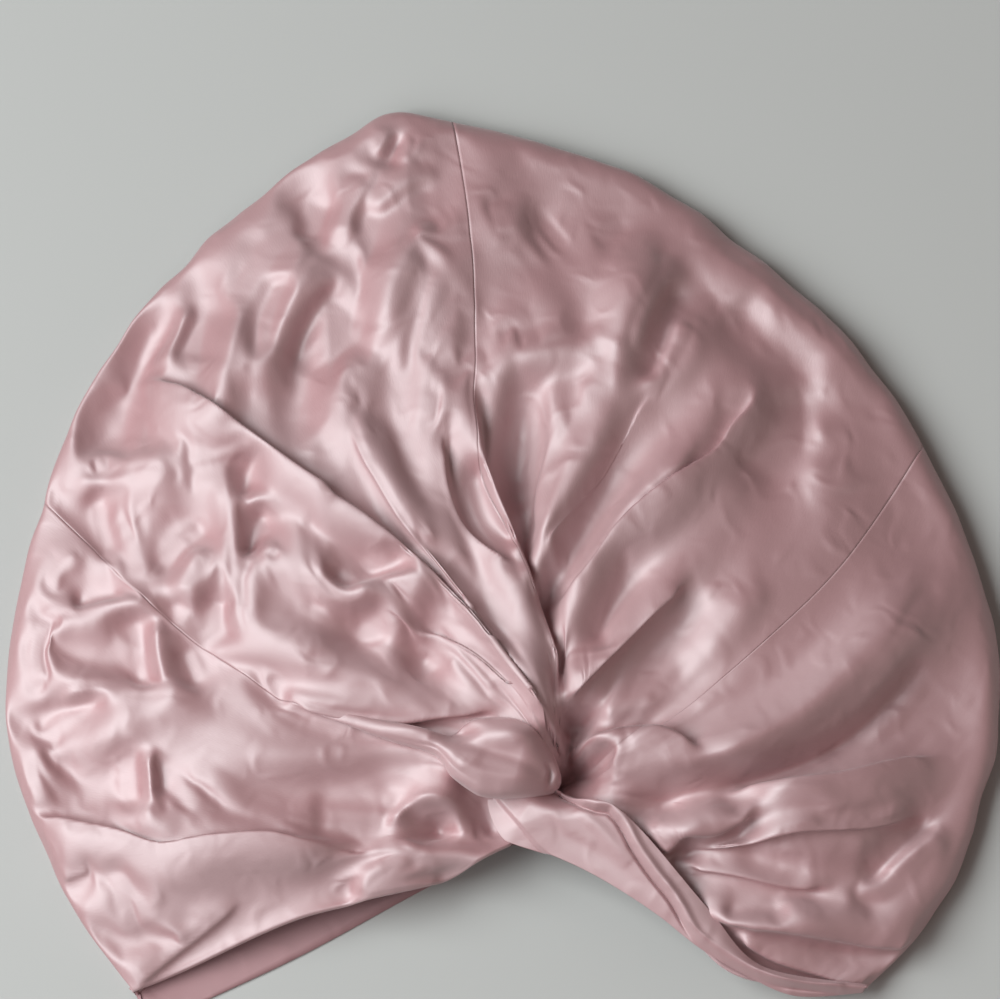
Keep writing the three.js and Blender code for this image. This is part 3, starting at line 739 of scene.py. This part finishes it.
def size_of(ways):
    """Lengths of ways between points."""
    return np.sqrt((ways * ways).sum(-1))


def pull(points, a, b, rest):
    """Draws two sets of grid points to their rest distance."""
    way = points[b] - points[a]
    length = size_of(way) + TINY
    move = (0.5 * (length - rest) / length)[..., None] * way
    points[a] += move
    points[b] -= move


def rest_lengths(grid, across, onward):
    """Rest lengths of a grid's rows, columns and both diagonals, with spare cloth both ways."""
    ds = grid[:, 1:] - grid[:, :-1]
    dv = grid[1:] - grid[:-1]
    ds_cell = ds[:-1] * (1 + across[:-1, :-1, None])
    dv_cell = dv[:, :-1] * (1 + onward[:-1, :-1, None])
    dv_next = dv[:, 1:] * (1 + onward[:-1, 1:, None])
    return dict(
        across=size_of(ds) * (1 + across[:, :-1]),
        onward=size_of(dv) * (1 + onward[:-1]),
        down=size_of(ds_cell + dv_next),
        up=size_of(dv_cell - ds_cell),
    )


def relax_piece(p, rest):
    """One round of drawing a grid's edges and diagonals to length, odd and even ones in turn."""
    rows, columns = p.shape[:2]
    for k in (0, 1):
        a = (slice(None), slice(k, columns - 1, 2))
        b = (slice(None), slice(k + 1, columns, 2))
        pull(p, a, b, rest["across"][:, k::2])
    for k in (0, 1):
        near, far = slice(k, rows - 1, 2), slice(k + 1, rows, 2)
        pull(p, (near, slice(None)), (far, slice(None)), rest["onward"][k::2])
        pull(p, (near, slice(0, -1)), (far, slice(1, None)), rest["down"][k::2])
        pull(p, (near, slice(1, None)), (far, slice(0, -1)), rest["up"][k::2])


def stiffen(p, amount):
    """Takes out ripples of only a few cells, as the cloth's own stiffness does."""
    for q in (p, np.swapaxes(p, 0, 1)):
        ripple = q[:-4] - 4 * q[1:-3] + 6 * q[2:-2] - 4 * q[3:-1] + q[4:]
        q[2:-2] -= amount / RIPPLE_GAIN * ripple


def stitch(halves, goals, stitched):
    """Holds the left seam's two branches, and joins both sides of the seam beyond its fork."""
    left, right = halves[0][:, -1], halves[1][:, 0]
    left[~stitched] = goals[0][~stitched, -1]
    right[~stitched] = goals[1][~stitched, 0]
    middle = (left[stitched] + right[stitched]) / 2
    left[stitched] = middle
    right[stitched] = middle


def refine(coarse, shape):
    """A coarser grid's places, read at a finer grid's points."""
    for axis, count in enumerate(shape):
        rows = np.moveaxis(coarse, axis, 0)
        last = len(rows) - 1
        at = np.linspace(0, last, count)
        low = np.clip(at.astype(int), 0, last - 1)
        weights = cubic_weights((at - low)[:, None, None])
        rows = sum(w * rows[np.clip(low + k - 1, 0, last)] for k, w in enumerate(weights))
        coarse = np.moveaxis(rows, 0, axis)
    return coarse


def thinned(count, step):
    """Every so many of a row of points, and always the last one."""
    return np.unique(np.append(np.arange(0, count, step), count - 1))


def relax_front(target, start, firm, spares, v):
    """The front, drawn to length from its target and first moves, on ever finer grids."""
    columns = target.shape[1]
    split = FRONT_COLUMNS["side_left"] + 1
    moves = None
    for step, rounds, share, stiffness in LEVELS:
        rows = thinned(v.size, step)
        stitched = v[rows] >= FORK_SHARE
        parts = [np.ix_(rows, thinned(split, step)), np.ix_(rows, split + thinned(columns - split, step))]
        goals = [target[part] for part in parts]
        firms = [firm[part] for part in parts]
        rests = [rest_lengths(target[part], *(share * spare[part] for spare in spares)) for part in parts]
        if moves is None:
            moves = [start[part] for part in parts]
        else:
            moves = [refine(move, goal.shape[:2]) for move, goal in zip(moves, goals)]
        halves = [goal + move for goal, move in zip(goals, moves)]
        for _ in range(rounds):
            for half, goal, rest, grip in zip(halves, goals, rests, firms):
                relax_piece(half, rest)
                stiffen(half, stiffness)
                half += grip * (goal - half)
                half[0] = goal[0]
                half[-1] += RIM_PULL * (goal[-1] - half[-1])
            halves[0][:, 0] += EDGE_PULL * (goals[0][:, 0] - halves[0][:, 0])
            halves[1][:, -1] += EDGE_PULL * (goals[1][:, -1] - halves[1][:, -1])
            stitch(halves, goals, stitched)
        moves = [half - goal for half, goal in zip(halves, goals)]
    return np.concatenate(halves, axis=1)


def settle_front():
    """The front's cloth after it has buckled, as a grid of places."""
    v = 1 - (1 - np.linspace(0, 1, FRONT_ROWS + 1)) ** ROW_CROWDING
    plan = front_plan(v)
    x, y = plan[..., 0], plan[..., 1]
    rng = np.random.default_rng(SEED)
    waves = layered_noise(x.shape, WAVES, rng)
    inside = (smooth01(v / TWIST_CALM) * smooth01((1 - v) / RIM_CALM))[:, None]
    target = np.dstack([x, y, base_height(x, y) + broad_folds(x, y) + waves * inside])
    target[-1, :, 2] = RIM_HEIGHT
    skin, grip = fold_skin()
    clear = smooth01(distance_to(rim_line, x, y) / LINE_CLEAR)
    target += np.dstack([overhang(x, y), skin_at(skin, x, y)]) * clear[..., None]
    firm = (PULL + LINE_PULL * np.clip(skin_at(grip, x, y), 0, 1))[..., None]
    spares = spare_cloth(x, y, inside, rng)
    start = np.zeros(target.shape)
    start[..., 2] = layered_noise(x.shape, BUMPS, rng) * inside
    target[..., :2] += rim_sway(plan, v, rng)
    return relax_front(target, start, firm, spares, v)


# Edges


def outward(edge):
    """The way left of an edge, in plan."""
    step = np.gradient(edge[:, :2], axis=0)
    step /= np.linalg.norm(step, axis=1, keepdims=True)
    return np.stack([-step[:, 1], step[:, 0]], axis=1)


def curl(edge, radius, first, last):
    """Lines of cloth that curl down and back under an edge, from one angle from upright to another."""
    out = outward(edge)
    lines = []
    for angle in np.radians(np.linspace(first, last, CURL_ROWS + 1)[1:]):
        line = edge.copy()
        line[:, :2] += out * radius * (np.sin(angle) - np.sin(np.radians(first)))
        line[:, 2] += radius * (np.cos(angle) - np.cos(np.radians(first)))
        line[:, 2] = np.maximum(line[:, 2], CLOTH)
        lines.append(line)
    return np.array(lines)


def throat(edge, steps=6, share=0.75, drop=6, bend=1.5):
    """Lines of cloth that go on from the inner edge, down under the twist."""
    lines = []
    for t in np.linspace(1, 0, steps, endpoint=False):
        line = edge.copy()
        line[:, :2] += (HUB - edge[:, :2]) * share * t
        line[:, 2] -= drop * t**bend
        lines.append(line)
    return np.array(lines)


# Meshes


def cloth_uv(grid):
    """The mean lengths of cloth along a grid's rows and columns up to each of its points, in metres."""
    steps = [np.linalg.norm(np.diff(grid, axis=k), axis=-1).mean(axis=1 - k) for k in (0, 1)]
    onward, across = (np.concatenate([[0], np.cumsum(s)]) * MM for s in steps)
    return np.stack(np.broadcast_arrays(across[None, :], onward[:, None]), axis=-1).reshape(-1, 2)


def grid_mesh(name, grid, material):
    """A mesh of a grid of places in millimetres, with its cloth's lengths as UVs."""
    rows, columns = grid.shape[:2]
    corner = np.arange(rows * columns).reshape(rows, columns)
    quads = np.stack([corner[:-1, :-1], corner[:-1, 1:], corner[1:, 1:], corner[1:, :-1]], axis=-1)
    mesh = bpy.data.meshes.new(name)
    mesh.from_pydata((grid.reshape(-1, 3) * MM).tolist(), [], quads.reshape(-1, 4).tolist())
    loops = np.empty(len(mesh.loops), int)
    mesh.loops.foreach_get("vertex_index", loops)
    layer = mesh.uv_layers.new(name="cloth")
    layer.data.foreach_set("uv", cloth_uv(grid)[loops].ravel())
    mesh.polygons.foreach_set("use_smooth", np.ones(len(mesh.polygons), bool))
    mesh.materials.append(material)
    obj = bpy.data.objects.new(name, mesh)
    bpy.context.scene.collection.objects.link(obj)
    return obj


def cloth_piece(node, grid, material):
    """A sheet of cloth with its thickness inwards, which stands for a solid."""
    obj = grid_mesh(node + "_silk", grid, material)
    thick = obj.modifiers.new("thickness", "SOLIDIFY")
    thick.thickness = CLOTH * MM
    thick.offset = -1
    thick.use_even_offset = False
    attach(obj, "root")
    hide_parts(node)


# Materials


def add_node(material, kind, vector=None, **inputs):
    """A new node in a material, with some inputs set and places fed into it."""
    tree = material.node_tree
    node = tree.nodes.new("ShaderNode" + kind)
    for name, value in inputs.items():
        node.inputs[name].default_value = value
    if vector:
        tree.links.new(vector, node.inputs["Vector"])
    return node


def add_tones(material, places, colour):
    """The silk's colour, in soft patches that are a little darker."""
    patches = add_node(material, "TexNoise", places["UV"], Scale=TONES_A_METRE, Detail=3)
    ramp = add_node(material, "ValToRGB")
    for stop, place, shade in zip(ramp.color_ramp.elements, TONE_STOPS, (TONE_DARK, 1)):
        stop.color = (*(c * shade for c in colour), 1)
        stop.position = place
    material.node_tree.links.new(patches.outputs["Fac"], ramp.inputs["Fac"])
    return ramp.outputs["Color"]


def add_relief(material, places):
    """Creases of a few millimetres, with the threads on top of them."""
    links = material.node_tree.links
    crease = add_node(
        material, "TexNoise", places["Object"], Scale=CREASES_A_METRE, Detail=2, Distortion=CREASE_DISTORTION
    )
    crease.noise_type = "RIDGED_MULTIFRACTAL"
    creased = add_node(material, "Bump", Strength=1, Distance=CREASE_DEPTH)
    links.new(crease.outputs["Fac"], creased.inputs["Height"])
    stretch = add_node(material, "Mapping", places["UV"], Scale=THREADS_A_METRE)
    thread = add_node(material, "TexNoise", stretch.outputs["Vector"], Scale=1, Detail=2)
    threaded = add_node(material, "Bump", Strength=THREAD_STRENGTH, Distance=THREAD_DEPTH)
    links.new(thread.outputs["Fac"], threaded.inputs["Height"])
    links.new(creased.outputs["Normal"], threaded.inputs["Normal"])
    return threaded.outputs["Normal"]


def silk(name, colour, roughness):
    """Satin with a soft lustre that is drawn out along its threads."""
    material = bpy.data.materials.new(name)
    material.use_nodes = True
    links = material.node_tree.links
    shader = material.node_tree.nodes["Principled BSDF"]
    for title, value in LUSTRE.items():
        shader.inputs[title].default_value = value
    shader.inputs["Roughness"].default_value = roughness
    places = add_node(material, "TexCoord").outputs
    links.new(add_tones(material, places, colour), shader.inputs["Base Color"])
    links.new(add_relief(material, places), shader.inputs["Normal"])
    tangent = add_node(material, "Tangent")
    tangent.direction_type = "UV_MAP"
    tangent.uv_map = "cloth"
    links.new(tangent.outputs["Tangent"], shader.inputs["Tangent"])
    return material


def table_top():
    """A plain matt table top."""
    material = bpy.data.materials.new("table_top")
    material.use_nodes = True
    shader = material.node_tree.nodes["Principled BSDF"]
    shader.inputs["Base Color"].default_value = TABLE_COLOUR
    shader.inputs["Roughness"].default_value = TABLE_ROUGHNESS
    return material


silk_front = silk("silk_front", **FRONT_LOOK)
# painted shade: the back's silk is darker than the front's to stand in for the shadow it lies in
silk_inside_painted_shade = silk("silk_inside_painted_shade", **SHADED_INSIDE_LOOK)


# Pieces


def front_panels():
    """The front's four panels, cut from one cloth. Only the left seam has points for both of its sides."""
    cloth = settle_front()
    first = 0
    for name, columns in FRONT_COLUMNS.items():
        grid = cloth[:, first : first + columns + 1]
        grid = np.concatenate([throat(grid[0]), grid, curl(grid[-1], **RIM_CURL)])
        first += columns
        if name == "side_left":
            first += 1
            hem = curl(grid[:, 0], **HEM_CURL)[::-1].swapaxes(0, 1)
            grid = np.concatenate([hem, grid], axis=1)
        cloth_piece(name, grid, silk_front)


def bump_at(x, y, centre, reach, height):
    """A round bump or hollow in plan."""
    far = ((x - centre[0]) / reach[0]) ** 2 + ((y - centre[1]) / reach[1]) ** 2
    return height * np.exp(-far)


def side_of(points, x, y):
    """How far each place is to the left of a line, and how far along it."""
    share, off, side, _ = place_on(even_line(points), x, y)
    return off * side, share


def ridge_on(points, x, y, height, width):
    """A ridge or groove along a line, which runs out at both ends."""
    off, share = side_of(points, x, y)
    return height * np.exp(-((off / width) ** 2)) * np.sqrt(np.sin(np.pi * share))


def step_up(off, height, width):
    """A smooth step up to the left of a line."""
    return height * smooth01((off + width / 2) / width)


def twist_wrap():
    """The loop: a bundle whose edges tuck under, with an upper lobe, a hollow beside it and a nose."""
    v = np.linspace(0, 1, LOOP_ROWS + 1) ** LOOP_CROWDING
    angle = np.radians(np.linspace(*LOOP_ARC, LOOP_COLUMNS + 1))
    top, foot = along(smooth_curve(LOOP_TOP), v), along(smooth_curve(LOOP_FOOT), v)
    middle, half = (top + foot) / 2, (top - foot) / 2
    plan = middle[:, None] - half[:, None] * np.cos(angle)[:, None] * LOOP_WIDER
    x, y = plan[..., 0], plan[..., 1]
    nose = np.sqrt(1 - (1 - np.clip(v / LOOP_NOSE, 0, 1)) ** 2)
    size = 1 - smooth01((v - LOOP_TAPER) / (1 - LOOP_TAPER))
    size *= LOOP_NOSE_HEIGHT + (1 - LOOP_NOSE_HEIGHT) * nose
    sine = np.sin(angle)
    arch = np.sign(sine) * np.abs(sine) ** LOOP_ARCH
    base = base_height(middle[:, 0], middle[:, 1])
    z = base[:, None] + LOOP_LIFT + LOOP_RISE * size[:, None] * arch
    z -= LOOP_SINK * smooth01((v - 1 + LOOP_SINK_LENGTH) / LOOP_SINK_LENGTH)[:, None]
    upper = np.sqrt(np.clip(sine, 0, 1))
    for centre, reach, height in LOOP_LOBES:
        z += upper * bump_at(x, y, centre, reach, height)
    for points, height, width in LOOP_FOLDS:
        z += upper * ridge_on(points, x, y, height, width)
    cloth_piece("twist_wrap", np.dstack([x, y, z]), silk_front)


def tail_lip(x, y):
    """Height of the tail's lip: a step, with a groove along its foot and a roll behind its edge."""
    off, _ = side_of(TAIL_LIP, x, y)
    groove = LIP_GROOVE["depth"] * np.exp(-((off / LIP_GROOVE["width"]) ** 2))
    roll = LIP_ROLL["height"] * np.exp(-(((off - LIP_ROLL["inwards"]) / LIP_ROLL["width"]) ** 2))
    return step_up(off, **LIP_STEP) - groove + roll


def twist_tail():
    """The band that comes out under the loop: a narrow lane, a broad one and a rolled lip."""
    v = np.linspace(0, 1, TAIL_ROWS + 1)
    s = np.linspace(0, 1, TAIL_COLUMNS + 1)
    top, foot = along(smooth_curve(TAIL_TOP), v), along(tail_foot, v)
    breadth = np.linalg.norm(top - foot, axis=1)[:, None]
    plan = foot[:, None] * (1 - s[:, None]) + top[:, None] * s[:, None]
    x, y = plan[..., 0], plan[..., 1]
    z = base_height(x, y) + TAIL_LIFT + TAIL_RISE * np.sin(np.pi * s)[None, :]
    z += step_up(side_of(TAIL_LANE, x, y)[0], **LANE_STEP)
    z += tail_lip(x, y) * smooth01(s * breadth / LIP_CLEAR)
    for points, height, width in TAIL_FOLDS:
        z += ridge_on(points, x, y, height, width)
    z -= TAIL_SAG * (np.exp(-s * TAIL_SAG_RATE) + np.exp(-(1 - s) * TAIL_SAG_RATE))
    z -= TAIL_DIVE * (1 - smooth01(v / TAIL_HIDDEN))[:, None]
    cloth_piece("twist_tail", np.dstack([x, y, z])[:, ::-1], silk_front)


def back_panel():
    """The back: flat on the table from the nape outwards, and turned up to the front at its rim."""
    s = np.linspace(0, 1, BACK_COLUMNS + 1)
    start, end = along(smooth_curve(NAPE), s), along(rim, s)
    end = end - outward(end) * BACK_INSET
    out = end - start
    reach = np.linalg.norm(out, axis=1, keepdims=True)
    out = out / reach
    radius = np.minimum(BACK_TURN, BACK_TURN_SHARE * reach)
    level = np.ones((s.size, 1))
    lines = []
    for k in np.linspace(0, 1, BACK_ROWS, endpoint=False):
        lines.append(np.hstack([start + out * (reach - radius) * k, CLOTH * level]))
    for angle in np.radians(np.linspace(0, 90, BACK_TURN_ROWS + 1)):
        lift = CLOTH + BACK_TURN * (1 - np.cos(angle))
        lines.append(np.hstack([start + out * (reach - radius + radius * np.sin(angle)), lift * level]))
    # the back gets the darker silk, whose colour paints the shade under the front
    cloth_piece("back_panel", np.array(lines), silk_inside_painted_shade)


def table():
    """The table that the wrap lies on."""
    mesh = bpy.data.meshes.new("table")
    corners = [(x * TABLE_HALF, y * TABLE_HALF, 0) for x, y in ((-1, -1), (1, -1), (1, 1), (-1, 1))]
    mesh.from_pydata(corners, [], [(0, 1, 2, 3)])
    mesh.materials.append(table_top())
    obj = bpy.data.objects.new("table", mesh)
    bpy.context.scene.collection.objects.link(obj)


# Light and camera


def aimed(name, data, place, way):
    """A light or camera that looks a way."""
    obj = bpy.data.objects.new(name, data)
    obj.location = place
    obj.rotation_mode = "QUATERNION"
    obj.rotation_quaternion = way.to_track_quat("-Z", "Y")
    bpy.context.scene.collection.objects.link(obj)
    return obj


def area_light(name, place, aim, size, power, colour):
    """A square light that is turned to its aim."""
    light = bpy.data.lights.new(name, "AREA")
    light.size = size
    light.energy = power
    light.color = colour
    aimed(name, light, place, Vector(aim) - Vector(place))


def studio():
    """Two windows at the left, a wall that throws light back at the right, and the room round them."""
    for name, light in LIGHTS.items():
        area_light(name, *light)
    world = bpy.data.worlds.new("room")
    world.use_nodes = True
    background = world.node_tree.nodes["Background"]
    background.inputs["Color"].default_value = ROOM_COLOUR
    background.inputs["Strength"].default_value = ROOM_STRENGTH
    bpy.context.scene.world = world
    bpy.context.scene.view_settings.view_transform = "Standard"


def camera():
    """The photo's view, from high above the face opening."""
    data = bpy.data.cameras.new("camera")
    data.sensor_width = SENSOR
    data.lens = SENSOR * CAMERA_DISTANCE / VIEW_WIDTH
    tilt = np.radians(CAMERA_ELEVATION)
    back = Vector((0, -np.cos(tilt), np.sin(tilt)))
    place = Vector(CAMERA_AIM) + back * CAMERA_DISTANCE
    bpy.context.scene.camera = aimed("camera", data, place, -back)


camera()
studio()
table()
back_panel()
front_panels()
twist_wrap()
twist_tail()
